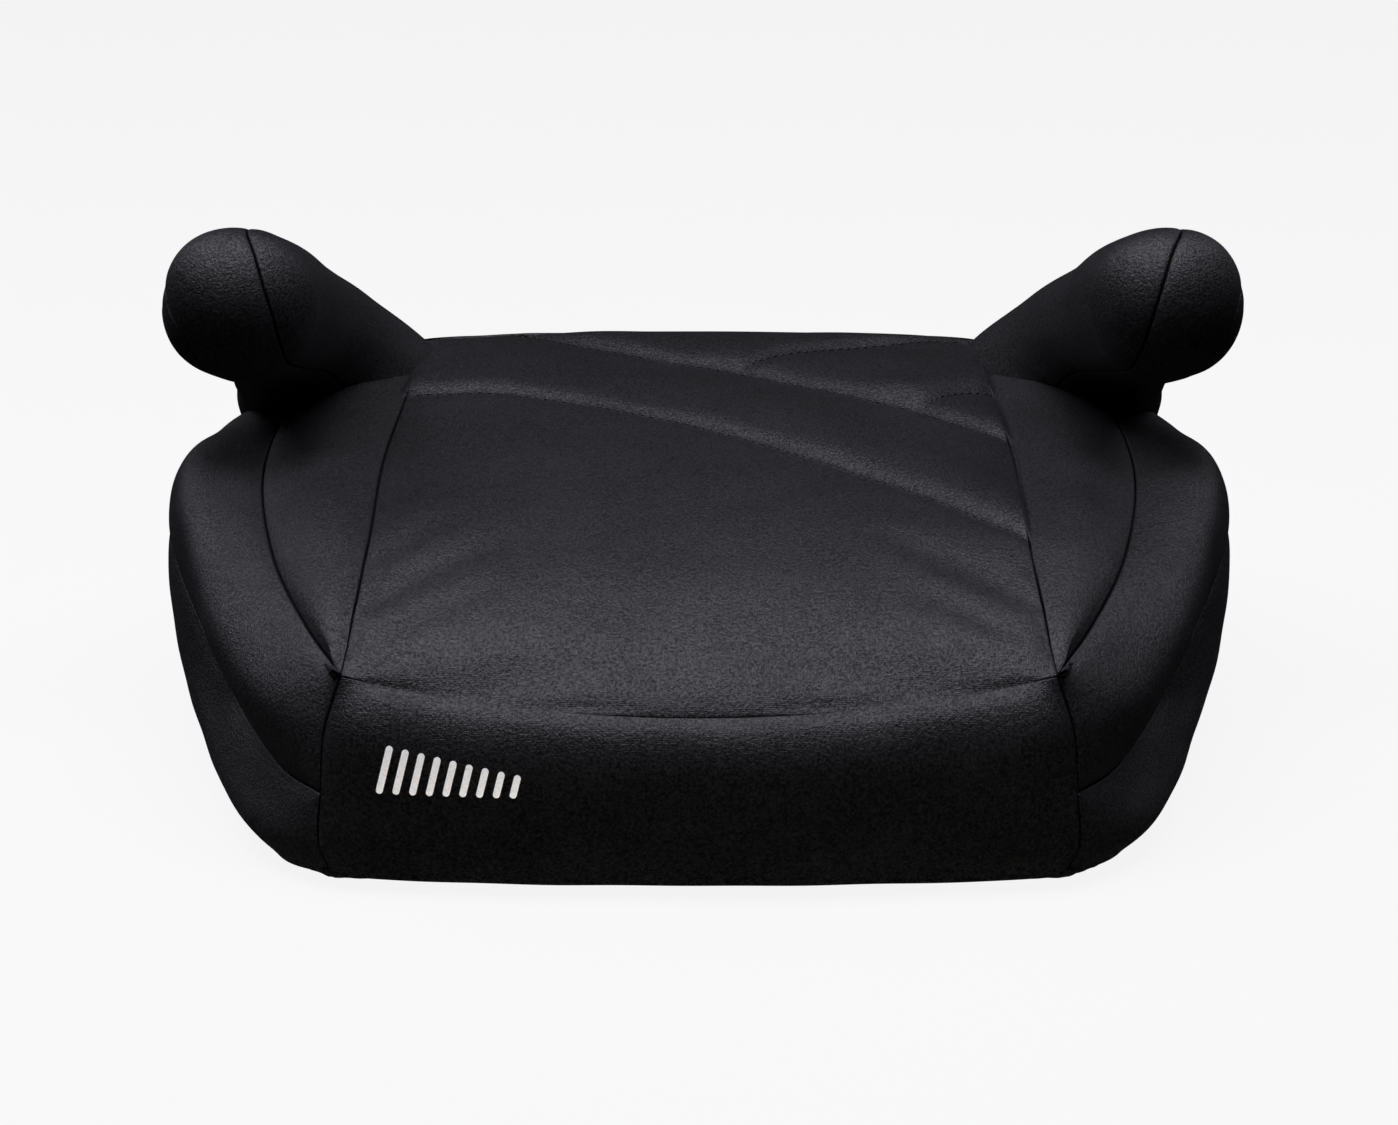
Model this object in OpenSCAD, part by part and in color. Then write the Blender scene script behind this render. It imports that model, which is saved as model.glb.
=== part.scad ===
// Backless booster seat: ribbed plastic shell, two armrests, foam pads and a sewn cover.
// Millimetres, +Z up, +Y to the rear. Origin: middle of the footprint, on the floor.
// Right and left in the names are as seen from in front of the seat: right is +X, the sitter's left hand.

/* [Body] */
// Width of the padded body at its widest
body_w = 438; // [414:1:440]
// Depth of the padded body, front face to back face
body_d = 376; // [360:1:390]
// Height of the rear edge of the seat panel
deck_h = 123; // [117:1:128]

/* [Armrests] */
// Rise of the armrest heads above the bolsters
arm_rise = 93; // [84:1:100]
// Plan thickness of the arm heads against the drawn size
head_scale = 1; // [0.95:0.01:1.05]

/* [Layers] */
// Thickness of the fabric and its laminated foam
cover_t = 5; // [4:0.5:6]
// Gap between neighbouring sewn panels and layers
gap = 0.3; // [0.2:0.05:0.4]
// Thickness of the foam round the sides of the shell
side_foam_t = 8.4; // [7.6:0.1:8.6]
// Thickness of the fabric round the armrests
sleeve_t = 4; // [3:0.5:4.5]
// Thickness of the foam round the armrest cores
arm_foam_t = 7.4; // [6:0.2:7.6]

/* [Shell] */
// Wall thickness of the mouldings
wall_t = 3; // [2.6:0.1:3.4]
// Spacing of the ribs under the shell
rib_pitch = 38; // [36:1:39]
// Thickness of a rib at its open end
rib_t = 2.6; // [2.2:0.1:3]
// Height of the shell's top plate
plate_z = 88; // [87:0.5:89]

/* [Underside] */
// Width of the gathered hem that wraps under the shell
hem_w = 20; // [14:1:21]
// Radius of a rubber foot
foot_r = 13; // [10:1:13]
// Width of an elastic loop
loop_w = 9; // [8:0.5:10]

/* [Hidden] */
$fn = 32;

black_fabric = [0.09, 0.09, 0.10];
grey_foam = [0.45, 0.46, 0.48];
black_plastic = [0.14, 0.14, 0.15];
rubber_grey = [0.20, 0.20, 0.21];
zinc = [0.72, 0.73, 0.75];
print_white = [0.95, 0.95, 0.95];

// The guide rows are drawn for a body of 438 x 376 x 123 and stretched to the driving dimensions.
sx = body_w / 438;
sy = body_d / 376;
sz = deck_h / 123;
bolster_z = 118;
drawn_rise = 93;

// Rows of the right side, each from the front corner to the back corner.
SIDE_ROWS = [
    // seam between seat panel and bolster
    [[133, -172, 82], [130, -142, 98], [128, -85, 111], [129, 0, 116], [126, 90, 118], [123, 178, 120]],
    // top of the inner bolster panel
    [[133, -172, 82], [141, -142, 96], [149, -85, 109], [155, 0, 117], [152, 90, 120], [144, 177, 118]],
    // seam along the crest of the bolster
    [[133, -172, 82], [149, -141, 91], [167, -85, 102], [179, 0, 110], [178, 90, 112], [165, 174, 108]],
    // shoulder of the outer bolster panel
    [[140, -177, 62], [169, -147, 68], [195, -88, 88], [210, 0, 110], [204, 88, 103], [184, 168, 100]],
    // seam between bolster and side panel
    [[142, -180, 38], [162, -150, 39], [186, -88, 47], [219, 0, 80], [215, 90, 82], [192, 166, 80]],
    // belly of the side panel
    [[143, -181, 18], [171, -151, 17], [194, -90, 24], [213, 0, 40], [209, 90, 42], [188, 166, 42]],
    // lower edge of the side panel
    [[139, -177, 4], [160, -152, 4], [172, -92, 4], [180, 0, 4], [175, 90, 4], [161, 160, 4]]
];
CREST = 2 / 6;
LOWER = 4 / 6;
// Profiles in the middle plane: front panel, seat panel and back panel.
FRONT_MID = [[0, -184, 70], [0, -188, 48], [0, -188, 24], [0, -183, 4]];
SEAT_MID = [[0, -184, 70], [0, -150, 91], [0, -85, 106], [0, 0, 113], [0, 90, 117], [0, 181, 123]];
BACK_MID = [[0, 181, 123], [0, 188, 96], [0, 188, 48], [0, 183, 4]];

// Armrest: centres of its sections from the root to the head, and each section's two half axes.
ARM_C = [[160, 146, 84], [162, 134, 110], [167, 102, 131], [177, 54, 155], [186, 6, 178]];
ARM_U = [[40, -12, 0], [39, -8, -4], [33, -4, -8], [29, 0, -6], [31, 0, 0]];
ARM_W = [[0, 22, 8], [0, 26, 14], [0, 25, 22], [0, 14, 28], [0, 2, 32]];
ARM_NOSE = [1, -28, 0];
SECTION_POWER = 2.2;
SEAM_AT = 0.62;

// Middle and half sizes of the rounded block whose outward direction all layers share.
BLOCK_C = [0, 0, 55];
BLOCK_R = [215, 188, 62];

// ---- curves and patches ----

function curve(a, b, c, d, f) =
    0.5 * (2 * b + (c - a) * f + (2 * a - 5 * b + 4 * c - d) * f * f + (3 * b - a - 3 * c + d) * f * f * f);

// Smooth curve through a row of points, u from 0 to 1.
function along(row, u) =
    let (n = len(row) - 1, x = min(max(u, 0), 1) * n, i = min(floor(x), n - 1))
    let (before = i > 0 ? row[i - 1] : 2 * row[0] - row[1])
    let (after = i + 2 <= n ? row[i + 2] : 2 * row[n] - row[n - 1])
    curve(before, row[i], row[i + 1], after, x - i);

function fit(p) = [p.x * sx, p.y * sy, p.z * sz];

// Side skin: s runs front to back, t runs from the seat seam down to the lower edge.
function side_raw(s, t) = along([for (row = SIDE_ROWS) along(row, s)], t);
function side(s, t) = fit(side_raw(s, t));

// A panel between the two sides: it leaves the middle profile with the square of f, f from -1 to 1.
function across(edge, mid, f) =
    let (p = mid + (edge - mid) * f * f)
    fit([edge.x * f, p.y, p.z]);
function front(f, t) = across(side_raw(0, CREST + (1 - CREST) * t), along(FRONT_MID, t), f);
function deck(f, v) = across(side_raw(v, 0), along(SEAT_MID, v), f);
function back(f, t) = across(side_raw(1, t), along(BACK_MID, t), f);

// Outward direction at a point, the same for every layer, so that layers mitre at the seams.
function cube_of(x) = x * x * x;
function outward(p) =
    let (q = [for (k = [0:2]) (p[k] - BLOCK_C[k]) / BLOCK_R[k]])
    let (g = [for (k = [0:2]) cube_of(q[k]) / BLOCK_R[k]])
    g / norm(g);
function inset(p, depth) = p - outward(p) * depth;
function tidy(p) = [for (c = p) round(c * 100) / 100];

// A closed slab between two matching grids of points.
module sheet(outer, inner) {
    m = len(outer);
    n = len(outer[0]);
    cm = floor(m / 2);
    cn = floor(n / 2);
    du = outer[cm][cn] - outer[cm - 1][cn];
    dv = outer[cm][cn] - outer[cm][cn - 1];
    faces_out = cross(du, dv) * (outer[cm][cn] - inner[cm][cn]) > 0;
    function o(i, j) = i * n + j;
    function k(i, j) = m * n + i * n + j;
    quads = concat(
        [for (i = [0:m - 2], j = [0:n - 2]) [o(i, j), o(i, j + 1), o(i + 1, j + 1), o(i + 1, j)]],
        [for (i = [0:m - 2], j = [0:n - 2]) [k(i, j), k(i + 1, j), k(i + 1, j + 1), k(i, j + 1)]],
        [for (i = [0:m - 2]) [o(i, 0), o(i + 1, 0), k(i + 1, 0), k(i, 0)]],
        [for (i = [0:m - 2]) [o(i + 1, n - 1), o(i, n - 1), k(i, n - 1), k(i + 1, n - 1)]],
        [for (j = [0:n - 2]) [o(0, j + 1), o(0, j), k(0, j), k(0, j + 1)]],
        [for (j = [0:n - 2]) [o(m - 1, j), o(m - 1, j + 1), k(m - 1, j + 1), k(m - 1, j)]]
    );
    corners = faces_out ? [[0, 1, 2], [0, 2, 3]] : [[2, 1, 0], [3, 2, 0]];
    polyhedron(
        points = [for (grid = [outer, inner]) for (row = grid) for (p = row) tidy(p)],
        faces = [for (q = quads) for (c = corners) [for (e = c) q[e]]],
        convexity = 4
    );
}

// The solid hull of a cloud of points.
module cloud(points) {
    hull() polyhedron(points = [for (p = points) tidy(p)], faces = [[for (i = [0:len(points) - 1]) i]]);
}

module mirrored(left) {
    mirror([left ? 1 : 0, 0, 0]) children();
}

function steps(a, b, n) = [for (i = [0:n]) a + (b - a) * i / n];
// From a to b with every whole n-th part between them, so that layers share their grid lines.
function shared(a, b, n) = concat([a], [for (i = [ceil(a * n + 0.1):floor(b * n - 0.1)]) i / n], [b]);

// ---- armrest horn ----

function lift(z) = z * sz + max(0, z - bolster_z) * (arm_rise / drawn_rise - sz);
function arm_place(p) = [p.x * sx, p.y * sy, lift(p.z)];
function rounded(x) = sign(x) * pow(abs(x), 2 / SECTION_POWER);
function shrunk(axis, depth) = axis * (1 - depth / norm(axis));

// One section of the horn, inset by depth.
SECTION_SIDES = 18;
function arm_ring(u, depth, nose = 0, size = 1) =
    let (c = along(ARM_C, u) + shrunk(ARM_NOSE, depth) * sin(nose))
    let (a = shrunk(along(ARM_U, u) * head_scale, depth) * size * cos(nose))
    let (b = shrunk(along(ARM_W, u), depth) * cos(nose))
    [for (i = [0:SECTION_SIDES - 1])
        let (w = 360 * i / SECTION_SIDES)
        arm_place(c + a * rounded(cos(w)) + b * rounded(sin(w)))];

ARM_STEPS = 8;
module horn(depth) {
    for (i = [0:ARM_STEPS - 1])
        cloud(concat(arm_ring(i / ARM_STEPS, depth), arm_ring((i + 1) / ARM_STEPS, depth)));
    cloud([for (nose = [0, 22, 44, 64, 80]) each arm_ring(1, depth, nose)]);
}

// The slab between the two side seams of the sleeve, for a share of the half width.
module seam_slab(share) {
    function band(u, nose) =
        let (c = along(ARM_C, u) + ARM_NOSE * nose)
        let (a = along(ARM_U, u) * head_scale * share)
        let (b = along(ARM_W, u) * 1.5)
        [for (q = [[1, 1], [-1, 1], [-1, -1], [1, -1]]) arm_place(c + a * q[0] + b * q[1])];
    for (i = [0:ARM_STEPS - 1])
        cloud(concat(band(i / ARM_STEPS, 0), band((i + 1) / ARM_STEPS, 0)));
    cloud(concat(band(1, 0), band(1, 1.5)));
}

far = 600;
arm_foot = plate_z + gap;
// What lies above the shell's top plate.
module above_plate() {
    translate([-far / 2, -far / 2, arm_foot]) cube(far);
}

module horn_wall(depth, thickness) {
    difference() {
        intersection() {
            horn(depth);
            above_plate();
        }
        horn(depth + thickness);
    }
}

module sleeve(left) {
    mirrored(left) difference() {
        horn_wall(0, sleeve_t);
        children();
    }
}

// Splits the sleeve between inner and outer panels.
split_x = 178 * sx;
module beyond_split(outer) {
    translate([outer ? split_x - far : split_x, -far / 2, -far / 2]) cube(far);
}

// ---- shell ----

shell_in = cover_t + side_foam_t + 2 * gap;
shell_bottom = 5;
plate_front = -85 * sy;
plate_rear = 168 * sy;
nose_z = 53 * sz;
nose_y = -174 * sy;
function shell_top(y) = min(plate_z, plate_z + (y - plate_front) * (plate_z - nose_z) / (plate_front - nose_y));
// Half width of the top plate along its depth, front to rear.
PLATE_EDGE = [[146, -85, 0], [176, -40, 0], [190, 10, 0], [190, 80, 0], [182, 120, 0], [150, 162, 0]];

function floored(p) = [p.x, p.y, shell_bottom];
function shell_half(extra) = concat(
    [for (s = steps(0, 1, 10), t = [LOWER, 5 / 6]) inset(side(s, t), shell_in + extra)],
    [for (s = steps(0, 1, 10)) floored(inset(side(s, 1), shell_in + extra)) - [0, 0, extra]],
    [for (f = steps(0, 1, 4), t = [0.4, 0.7]) inset(front(f, t), shell_in + 1 + extra)],
    [for (f = steps(0, 1, 4), t = [0.6, 0.8]) inset(back(f, t), shell_in + extra)],
    [for (f = steps(0, 1, 4)) floored(inset(front(f, 1), shell_in + extra)) - [0, 0, extra]],
    [for (f = steps(0, 1, 4)) floored(inset(back(f, 1), shell_in + extra)) - [0, 0, extra]],
    [for (u = steps(0, 1, 10)) let (p = along(PLATE_EDGE, u)) [p.x * sx - extra, p.y * sy, plate_z - extra]]
);
module shell_block(extra) {
    half = shell_half(extra);
    cloud(concat(half, [for (p = half) [-p.x, p.y, p.z]]));
}

// One pocket between the ribs, wider at its open end.
draft = 1;
RIB_LINES = 5;
module pocket(i, j) {
    open_w = rib_pitch - rib_t;
    translate([i * rib_pitch, j * rib_pitch, 0]) hull() {
        translate([-open_w / 2, -open_w / 2, 0]) cube([open_w, open_w, 1]);
        translate([-open_w / 2 + draft, -open_w / 2 + draft, plate_z])
            cube([open_w - 2 * draft, open_w - 2 * draft, 1]);
    }
}

// The free channel between the ribs' ends and the outer wall.
channel = 6;
module outside_ribs() {
    difference() {
        translate([-far / 2, -far / 2, 0]) cube([far, far, plate_z]);
        linear_extrude(plate_z) polygon(lower_edge(shell_in + wall_t + channel));
    }
}

function rib_line(i) = (i + 0.5) * rib_pitch;
FEET = [for (side = [-1, 1]) each [[side * rib_line(2), -rib_line(3)], [side * rib_line(3), rib_line(3)]]];
HOOKS = [for (side = [-1, 1]) each
    [[side * rib_line(1), -rib_line(3), -90], [side * rib_line(3), 0, side > 0 ? 0 : 180],
    [side * rib_line(1), rib_line(3), 90]]];
SCREWS = [for (side = [-1, 1], x = [142, 154]) [side * x, 142]];

foot_peg_r = 3;
hook_r = 2.2;
hook_lip_r = 3.6;
screw_r = 2;
screw_head_r = 4;
screw_boss_r = 5;
screw_boss_h = 20;
boss_h = 4;

module seat_shell() {
    color(black_plastic) difference() {
        union() {
            difference() {
                shell_block(0);
                intersection() {
                    shell_block(wall_t);
                    union() {
                        for (i = [-RIB_LINES:RIB_LINES], j = [-RIB_LINES:RIB_LINES]) pocket(i, j);
                        outside_ribs();
                    }
                }
            }
            for (p = FEET) translate([p.x, p.y, shell_bottom]) cylinder(r = foot_r, h = boss_h, $fn = 20);
            for (p = HOOKS) translate([p.x, p.y, 0]) {
                translate([0, 0, shell_bottom]) cylinder(r = hook_lip_r + 1, h = boss_h, $fn = 12);
                translate([0, 0, 2]) cylinder(r = hook_r, h = shell_bottom, $fn = 12);
                translate([0, 0, 1.4]) cylinder(r = hook_lip_r, h = 1, $fn = 12);
            }
        }
        for (p = FEET) translate([p.x, p.y, 0]) cylinder(r = foot_peg_r + 0.2, h = shell_bottom + 3.2, $fn = 16);
        for (p = SCREWS) translate([p.x, p.y, plate_z - 10]) cylinder(r = screw_r + 0.2, h = 20, $fn = 16);
    }
}

module arm_core(left) {
    core_in = sleeve_t + arm_foam_t + 2 * gap;
    color(black_plastic) mirrored(left) difference() {
        union() {
            horn_wall(core_in, wall_t);
            intersection() {
                horn(core_in + 1);
                union() {
                    for (p = SCREWS) if (p.x > 0) translate([p.x, p.y, arm_foot])
                        cylinder(r = screw_boss_r, h = screw_boss_h);
                    translate([0, SCREWS[0].y - wall_t / 2, arm_foot]) cube([far, wall_t, screw_boss_h]);
                }
            }
        }
        for (p = SCREWS) if (p.x > 0) translate([p.x, p.y, arm_foot - 1])
            cylinder(r = screw_r + 0.05, h = screw_boss_h - 2);
    }
}

module arm_screws() {
    head_h = 2.4;
    color(zinc) for (p = SCREWS) translate([p.x, p.y, plate_z - wall_t - head_h]) difference() {
        union() {
            cylinder(r = screw_head_r, h = head_h);
            cylinder(r = screw_r, h = head_h + wall_t + 15);
        }
        for (turn = [0, 90]) rotate(turn) translate([-2.2, -0.5, -1]) cube([4.4, 1, 2.4]);
    }
}

module foot_pads() {
    color(rubber_grey) for (p = FEET) translate([p.x, p.y, 0]) rotate_extrude()
        polygon([[0, 0], [foot_r - 1.5, 0], [foot_r - 0.4, 1.1], [foot_r - 0.4, shell_bottom],
            [foot_peg_r, shell_bottom], [foot_peg_r, shell_bottom + 3], [0, shell_bottom + 3]]);
}

// ---- foam ----

foam_in = cover_t + gap;
margin = 0.985;
// Grid lines of the patches, per whole patch or per half width.
DECK_F = 8;
DECK_V = 14;
FRONT_F = 7;
FRONT_T = 6;
BACK_T = 7;
SIDE_S = 12;
SIDE_T = 12;

// Seat foam fills the space between the cover and the shell's top.
function on_shell(p) = [p.x, p.y,
    p.y > plate_front ? plate_z + gap : max(p.z, shell_top(p.y) + gap)];
module seat_foam() {
    grid_f = shared(-margin, margin, DECK_F);
    grid_v = shared(0.01, 0.985, DECK_V);
    color(grey_foam) difference() {
        sheet(
            [for (f = grid_f) [for (v = grid_v) inset(deck(f, v), foam_in)]],
            [for (f = grid_f) [for (v = grid_v) on_shell(inset(deck(f, v), foam_in + 18))]]
        );
        both_horns();
        shell_block(-gap);
    }
}

module both_horns() {
    for (left = [false, true]) mirrored(left) horn(-gap);
}

module front_foam() {
    grid_f = shared(-margin, margin, FRONT_F);
    grid_t = shared(0.1, 0.97, FRONT_T);
    color(grey_foam) difference() {
        sheet(
            [for (f = grid_f) [for (t = grid_t) inset(front(f, t), foam_in)]],
            [for (f = grid_f) [for (t = grid_t) inset(front(f, t), foam_in + side_foam_t)]]
        );
        shell_block(-gap);
    }
}

module back_foam() {
    grid_f = shared(-0.97, 0.97, FRONT_F);
    grid_t = shared(0.12, 0.97, BACK_T);
    color(grey_foam) difference() {
        sheet(
            [for (f = grid_f) [for (t = grid_t) inset(back(f, t), foam_in)]],
            [for (f = grid_f) [for (t = grid_t) inset(back(f, t), foam_in + side_foam_t)]]
        );
        both_horns();
        shell_block(-gap);
    }
}

function under_bolster(p) = [p.x, p.y, p.z > plate_z + gap ? plate_z + gap : p.z];
module bolster_foam(left) {
    grid_s = shared(0.06, 0.95, SIDE_S);
    grid_t = shared(0.02, 0.97, SIDE_T);
    color(grey_foam) mirrored(left) difference() {
        sheet(
            [for (s = grid_s) [for (t = grid_t) inset(side(s, t), foam_in)]],
            [for (s = grid_s) [for (t = grid_t) under_bolster(inset(side(s, t), foam_in + side_foam_t))]]
        );
        horn(-gap);
        shell_block(-gap);
    }
}

module arm_foam(left) {
    color(grey_foam) mirrored(left) horn_wall(sleeve_t + gap, arm_foam_t);
}

// ---- sewn cover ----

// A panel of the cover from a grid on the skin, cut round the armrests.
module panel(grid) {
    sheet(grid, [for (row = grid) [for (p = row) inset(p, cover_t)]]);
}

module side_panel(s_from, t_from, t_to) {
    panel([for (s = shared(s_from, 0.996, SIDE_S)) [for (t = shared(t_from, t_to, SIDE_T)) side(s, t)]]);
}

// Edges of the panels are drawn in by this share of the patch to leave the seam gap.
seam_f = 0.9985;
module cover_seat_panel() {
    color(black_fabric) difference() {
        panel([for (f = shared(-seam_f, seam_f, DECK_F)) [for (v = shared(0.001, 0.999, DECK_V)) deck(f, v)]]);
        both_horns();
    }
}

module cover_front_panel() {
    color(black_fabric)
        panel([for (f = shared(-seam_f, seam_f, FRONT_F)) [for (t = shared(0.004, 1, FRONT_T)) front(f, t)]]);
}

module cover_back_panel() {
    color(black_fabric) difference() {
        panel([for (f = shared(-seam_f, seam_f, FRONT_F)) [for (t = shared(0.003, 1, BACK_T)) back(f, t)]]);
        both_horns();
    }
}

module cover_bolster_inner(left) {
    color(black_fabric) mirrored(left) difference() {
        side_panel(0.03, 0.006, CREST - 0.004);
        horn(-gap);
    }
}

module cover_bolster_outer(left) {
    color(black_fabric) mirrored(left) difference() {
        side_panel(0.002, CREST + 0.004, LOWER - 0.003);
        horn(-gap);
    }
}

module cover_side(left) {
    color(black_fabric) mirrored(left) difference() {
        side_panel(0.002, LOWER + 0.003, 1);
        horn(-gap);
    }
}

module cover_arm_inner(left) {
    color(black_fabric) sleeve(left) {
        seam_slab(SEAM_AT + 0.01);
        beyond_split(false);
    }
}

module cover_arm_outer(left) {
    color(black_fabric) sleeve(left) {
        seam_slab(SEAM_AT + 0.01);
        beyond_split(true);
    }
}

module cover_arm_gusset(left) {
    color(black_fabric) mirrored(left) intersection() {
        horn_wall(0, sleeve_t);
        seam_slab(SEAM_AT);
    }
}

// ---- underside of the cover ----

hem_z = 2.2;
hem_t = 1.5;
// The lower edge of the cover in plan, drawn in by a distance.
function drawn_in(p, d) = [p.x, p.y] * (1 - d / norm([p.x, p.y]));
function lower_edge(d) = [
    for (s = steps(0, 1, 10)) drawn_in(side(s, 1), d),
    for (f = steps(0.8, -0.8, 4)) drawn_in(back(f, 1), d),
    for (s = steps(1, 0, 10)) let (p = side(s, 1)) drawn_in([-p.x, p.y], d),
    for (f = steps(-0.8, 0.8, 4)) drawn_in(front(f, 1), d)
];
module cover_hem() {
    color(black_fabric) translate([0, 0, hem_z]) linear_extrude(hem_t) difference() {
        polygon(lower_edge(1));
        polygon(lower_edge(hem_w));
    }
}

// Loops that hold the hem to the hooks of the shell.
loop_t = 1;
loop_reach = 29;
module elastic_loops() {
    color(black_fabric) for (p = HOOKS) translate([p.x, p.y, hem_z + hem_t + 0.05]) rotate(p[2])
        linear_extrude(loop_t) difference() {
            union() {
                circle(r = loop_w / 2);
                translate([0, -loop_w / 2]) square([loop_reach, loop_w]);
            }
            circle(r = hook_r + 0.2);
        }
}

// ---- print ----

// A row of slanted bars, printed near the left end of the front panel.
bars = 9;
bar_step = 6.2;
bar_slant = 4;
print_t = 0.3;
module printed_mark() {
    color(print_white) intersection() {
        sheet(
            [for (f = shared(-0.97, -0.2, FRONT_F)) [for (t = shared(0.05, 0.7, FRONT_T)) inset(front(f, t), -print_t)]],
            [for (f = shared(-0.97, -0.2, FRONT_F)) [for (t = shared(0.05, 0.7, FRONT_T)) front(f, t)]]
        );
        for (i = [0:bars - 1]) let (h = 16 - i * 1.2, x = (-118 + i * bar_step) * sx) hull() {
            for (end = [[0, 0], [bar_slant * h / 16, h]])
                translate([x + end[0], -body_d / 2 + 20, 42 * sz + end[1]]) rotate([90, 0, 0])
                    cylinder(r = 1.3, h = 40, $fn = 8);
        }
    }
}

seat_shell();
arm_core(false);  // arm_core_right
arm_core(true);  // arm_core_left
arm_screws();
foot_pads();
seat_foam();
front_foam();
back_foam();
bolster_foam(false);  // bolster_foam_right
bolster_foam(true);  // bolster_foam_left
arm_foam(false);  // arm_foam_right
arm_foam(true);  // arm_foam_left
cover_seat_panel();
cover_front_panel();
cover_back_panel();
cover_bolster_inner(false);  // cover_bolster_inner_right
cover_bolster_inner(true);  // cover_bolster_inner_left
cover_bolster_outer(false);  // cover_bolster_outer_right
cover_bolster_outer(true);  // cover_bolster_outer_left
cover_side(false);  // cover_side_right
cover_side(true);  // cover_side_left
cover_arm_inner(false);  // cover_arm_inner_right
cover_arm_inner(true);  // cover_arm_inner_left
cover_arm_outer(false);  // cover_arm_outer_right
cover_arm_outer(true);  // cover_arm_outer_left
cover_arm_gusset(false);  // cover_arm_gusset_right
cover_arm_gusset(true);  // cover_arm_gusset_left
cover_hem();
elastic_loops();
printed_mark();
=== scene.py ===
import math

import bmesh
import bpy
import numpy as np
from mathutils import Matrix, Vector
from mathutils.bvhtree import BVHTree


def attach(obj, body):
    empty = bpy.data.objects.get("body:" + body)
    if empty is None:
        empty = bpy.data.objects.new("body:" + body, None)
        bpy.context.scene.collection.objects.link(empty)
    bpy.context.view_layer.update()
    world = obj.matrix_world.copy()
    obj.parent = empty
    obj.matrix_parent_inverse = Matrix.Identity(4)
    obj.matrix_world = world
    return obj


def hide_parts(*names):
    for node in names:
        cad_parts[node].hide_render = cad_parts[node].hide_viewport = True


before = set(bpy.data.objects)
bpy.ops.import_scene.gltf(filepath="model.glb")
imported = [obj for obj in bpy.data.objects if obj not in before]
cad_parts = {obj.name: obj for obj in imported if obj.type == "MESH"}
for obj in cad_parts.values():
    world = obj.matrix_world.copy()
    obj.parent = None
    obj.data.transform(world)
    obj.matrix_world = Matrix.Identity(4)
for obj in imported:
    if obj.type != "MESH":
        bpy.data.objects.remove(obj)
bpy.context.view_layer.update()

MM = 0.001

# ---------------------------------------------------------------- camera

CAMERA_TARGET = Vector((0, 0, 0.070))
CAMERA_DISTANCE = 1.600
CAMERA_RISE = math.radians(18)
CAMERA_LENS = 99.84


def add_camera():
    camera = bpy.data.cameras.new("camera")
    camera.lens = CAMERA_LENS
    camera.sensor_width = 36
    camera.clip_end = 50
    ob = link(bpy.data.objects.new("camera", camera))
    away = Vector((0, -math.cos(CAMERA_RISE), math.sin(CAMERA_RISE)))
    ob.location = CAMERA_TARGET + away * CAMERA_DISTANCE
    ob.rotation_euler = (math.pi / 2 - CAMERA_RISE, 0, 0)
    bpy.context.scene.camera = ob


# ---------------------------------------------------------------- the skin of the seat
# Rows of the right side (+X), each from the front corner to the back corner, in millimetres.

SIDE_ROWS = np.array([
    [[133, -172, 82], [130, -142, 98], [128, -85, 111], [129, 0, 116], [126, 90, 118], [123, 178, 120]],
    [[133, -172, 82], [141, -142, 96], [149, -85, 109], [155, 0, 117], [152, 90, 120], [144, 177, 118]],
    [[133, -172, 82], [149, -141, 91], [167, -85, 102], [179, 0, 110], [178, 90, 112], [165, 174, 108]],
    [[140, -177, 62], [169, -147, 68], [195, -88, 88], [210, 0, 110], [204, 88, 103], [184, 168, 100]],
    [[142, -180, 38], [162, -150, 39], [186, -88, 47], [219, 0, 80], [215, 90, 82], [192, 166, 80]],
    [[143, -181, 18], [171, -151, 17], [194, -90, 24], [213, 0, 40], [209, 90, 42], [188, 166, 42]],
    [[139, -177, 4], [160, -152, 4], [172, -92, 4], [180, 0, 4], [175, 90, 4], [161, 160, 4]],
], float)
CREST = 2 / 6
LOWER = 4 / 6
FRONT_MID = [[0, -184, 70], [0, -188, 48], [0, -188, 24], [0, -183, 4]]
SEAT_MID = [[0, -184, 70], [0, -150, 91], [0, -85, 106], [0, 0, 113], [0, 90, 117], [0, 181, 123]]
BACK_MID = [[0, 181, 123], [0, 188, 96], [0, 188, 48], [0, 183, 4]]


def cubic(a, b, c, d, f):
    return 0.5 * (2 * b + (c - a) * f + (2 * a - 5 * b + 4 * c - d) * f ** 2
                  + (3 * b - a - 3 * c + d) * f ** 3)


def along(row, u):
    """Smooth curve through a row of points, or of rows, at u from 0 to 1."""
    p = np.asarray(row, float)
    n = len(p) - 1
    x = np.clip(np.asarray(u, float), 0, 1) * n
    i = np.minimum(x.astype(int), n - 1)
    ext = np.concatenate([[2 * p[0] - p[1]], p, [2 * p[-1] - p[-2]]])
    f = (x - i).reshape(x.shape + (1,) * (p.ndim - 1))
    return cubic(ext[i], ext[i + 1], ext[i + 2], ext[i + 3], f)


def side(s, t):
    """Side skin on a grid: s runs front to back, t from the seat seam down to the lower edge."""
    rows = np.stack([along(row, s) for row in SIDE_ROWS])
    return np.swapaxes(along(rows, t), 0, 1)


def across(edge, middle, f):
    """Rows between the two sides: f from -1 to 1, leaving the middle with its square."""
    f = np.asarray(f)[:, None, None]
    p = middle[None] + (edge - middle)[None] * f ** 2
    p[..., 0] = edge[None, :, 0] * f[..., 0]
    return p


def deck(f, v):
    return across(side(v, np.array([0.0]))[:, 0], along(SEAT_MID, v), f)


def front(f, t):
    return across(side(np.array([0.0]), CREST + (1 - CREST) * t)[0], along(FRONT_MID, t), f)


def back(f, t):
    return across(side(np.array([1.0]), t)[0], along(BACK_MID, t), f)


# ---------------------------------------------------------------- grids

CELL = 4.0
FINE_CELLS = [1.1, 1.5, 2.2, 3.0]


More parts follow.
